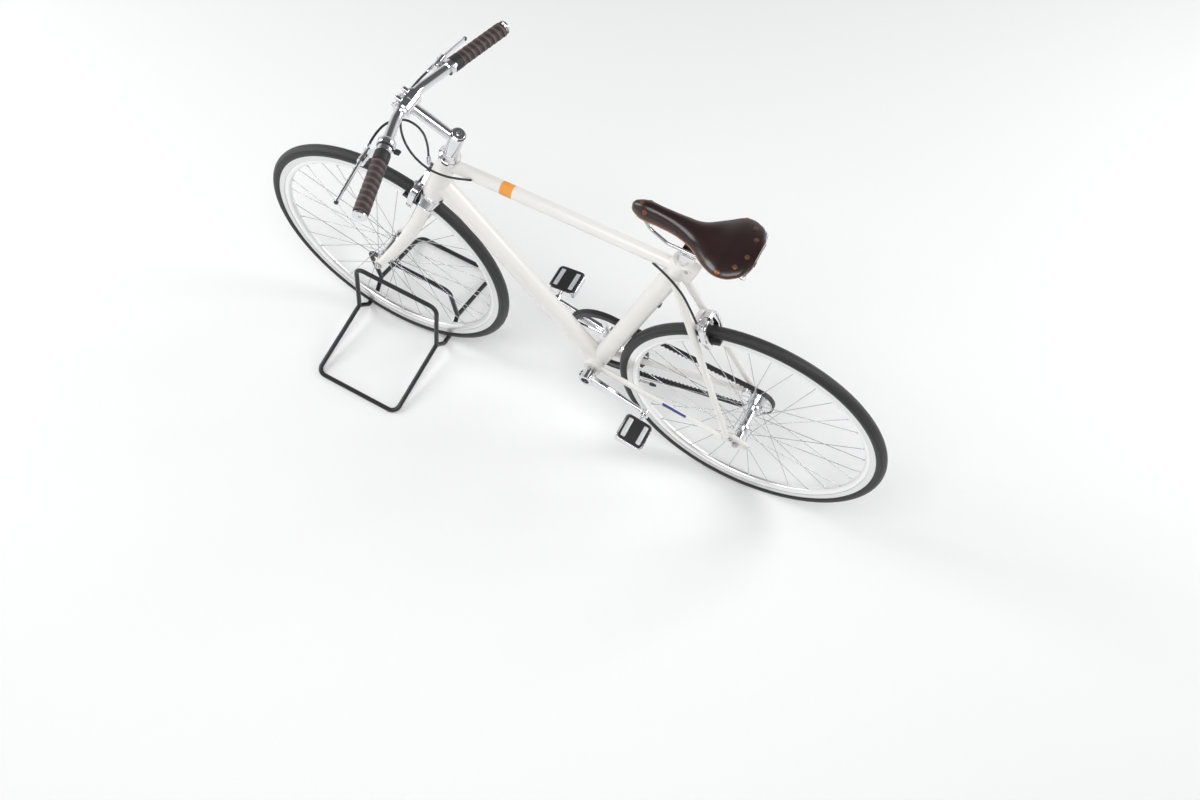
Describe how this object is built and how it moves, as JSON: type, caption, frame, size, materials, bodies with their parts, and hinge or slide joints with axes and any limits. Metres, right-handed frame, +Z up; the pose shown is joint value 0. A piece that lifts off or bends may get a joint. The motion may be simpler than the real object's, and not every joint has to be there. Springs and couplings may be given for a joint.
{
  "type": "single-speed city bicycle with belt drive in a floor stand",
  "caption": "Single-speed city bicycle with a toothed belt drive, rim brakes, leather saddle and grips, parked in a bent-tube floor stand.",
  "frame": {"origin": "on the floor, half way between the two wheel axles, in the bicycle's middle plane", "axes": "+X to the front wheel, +Y to the rider's left, +Z up"},
  "size_m": [1.666, 0.568, 0.9655],
  "materials": {
    "belt_rubber": "toothed belt",
    "black_alloy": "black anodised",
    "black_plastic": "black",
    "black_rubber": "matt",
    "brown_leather": "waxed brown leather",
    "frame_paint": "gloss warm white paint",
    "polished_alloy": "polished",
    "satin_alloy": "satin",
    "stand_coat": "black powder coat",
    "steel": "bright steel",
    "tyre_rubber": "slick tread"
  },
  "bodies": {
    "frame": {"head_tube": "frame_paint", "headset_cups": "polished_alloy", "bottom_bracket_shell": "frame_paint", "seat_tube": "frame_paint", "top_tube": "frame_paint", "down_tube": "frame_paint", "chainstay_left": "frame_paint", "chainstay_right": "frame_paint", "seatstay_left": "frame_paint", "seatstay_right": "frame_paint", "rear_dropouts": "frame_paint", "brake_bridge": "frame_paint", "rear_axle": "steel", "drive_belt": "belt_rubber", "rear_brake_caliper": "polished_alloy", "rear_brake_pads": "black_rubber", "rear_brake_cable": "black_rubber", "rear_cable_loop": "black_rubber", "seatpost": "polished_alloy", "saddle_rails": "steel", "saddle_leather": "brown_leather"},
    "steering": {"crown_race": "polished_alloy", "fork_crown": "polished_alloy", "fork_blade_left": "frame_paint", "fork_blade_right": "frame_paint", "front_axle": "steel", "headset_cover": "black_alloy", "stem": "polished_alloy", "stem_cap": "black_alloy", "handlebar": "polished_alloy", "grip_left": "brown_leather", "grip_right": "brown_leather", "grip_collars": "polished_alloy", "bar_end_plugs": "polished_alloy", "brake_lever_left": "polished_alloy", "brake_lever_right": "polished_alloy", "bell": "polished_alloy", "front_brake_caliper": "polished_alloy", "front_brake_pads": "black_rubber", "front_brake_cable": "black_rubber", "stand_left": "stand_coat", "stand_right": "stand_coat", "stand_cross_tubes": "stand_coat"},
    "front_wheel": {"front_tyre": "tyre_rubber", "front_rim": "polished_alloy", "front_hub": "polished_alloy", "front_spokes": "steel"},
    "rear_wheel": {"rear_tyre": "tyre_rubber", "rear_rim": "polished_alloy", "rear_hub": "polished_alloy", "rear_spokes": "steel"},
    "rear_sprocket": {"rear_sprocket": "polished_alloy"},
    "crank": {"belt_ring": "black_alloy", "crank_arm_left": "polished_alloy", "crank_arm_right": "polished_alloy", "crank_spindle": "steel"},
    "pedal_left": {"pedal_left": "satin_alloy", "pedal_plates_left": "black_plastic"},
    "pedal_right": {"pedal_right": "satin_alloy", "pedal_plates_right": "black_plastic"}
  },
  "joints": [
    {"name": "steering", "type": "hinge", "parent": "frame", "child": "steering", "pos_m": [0.33758, 0, 0.6667], "axis": [-0.309, 0, 0.9511], "range_deg": [-60, 60], "deforming": ["rear_cable_loop"]},
    {"name": "front_wheel_spin", "type": "hinge", "parent": "steering", "child": "front_wheel", "pos_m": [0.494, 0, 0.339], "axis": [0, 1, 0], "continuous": true},
    {"name": "rear_wheel_spin", "type": "hinge", "parent": "frame", "child": "rear_wheel", "pos_m": [-0.494, 0, 0.339], "axis": [0, 1, 0], "continuous": true},
    {"name": "crank_spin", "type": "hinge", "parent": "frame", "child": "crank", "pos_m": [-0.098, 0, 0.29], "axis": [0, 1, 0], "continuous": true},
    {"name": "sprocket_spin", "type": "hinge", "parent": "frame", "child": "rear_sprocket", "pos_m": [-0.494, 0, 0.339], "axis": [0, 1, 0], "continuous": true},
    {"name": "pedal_left_spin", "type": "hinge", "parent": "crank", "child": "pedal_left", "pos_m": [-0.26049, 0, 0.26135], "axis": [0, 1, 0], "continuous": true},
    {"name": "pedal_right_spin", "type": "hinge", "parent": "crank", "child": "pedal_right", "pos_m": [0.06449, 0, 0.31865], "axis": [0, 1, 0], "continuous": true}
  ],
  "couplings": [
    {"joint": "sprocket_spin", "follows": "crank_spin", "ratio": 2.625}
  ]
}
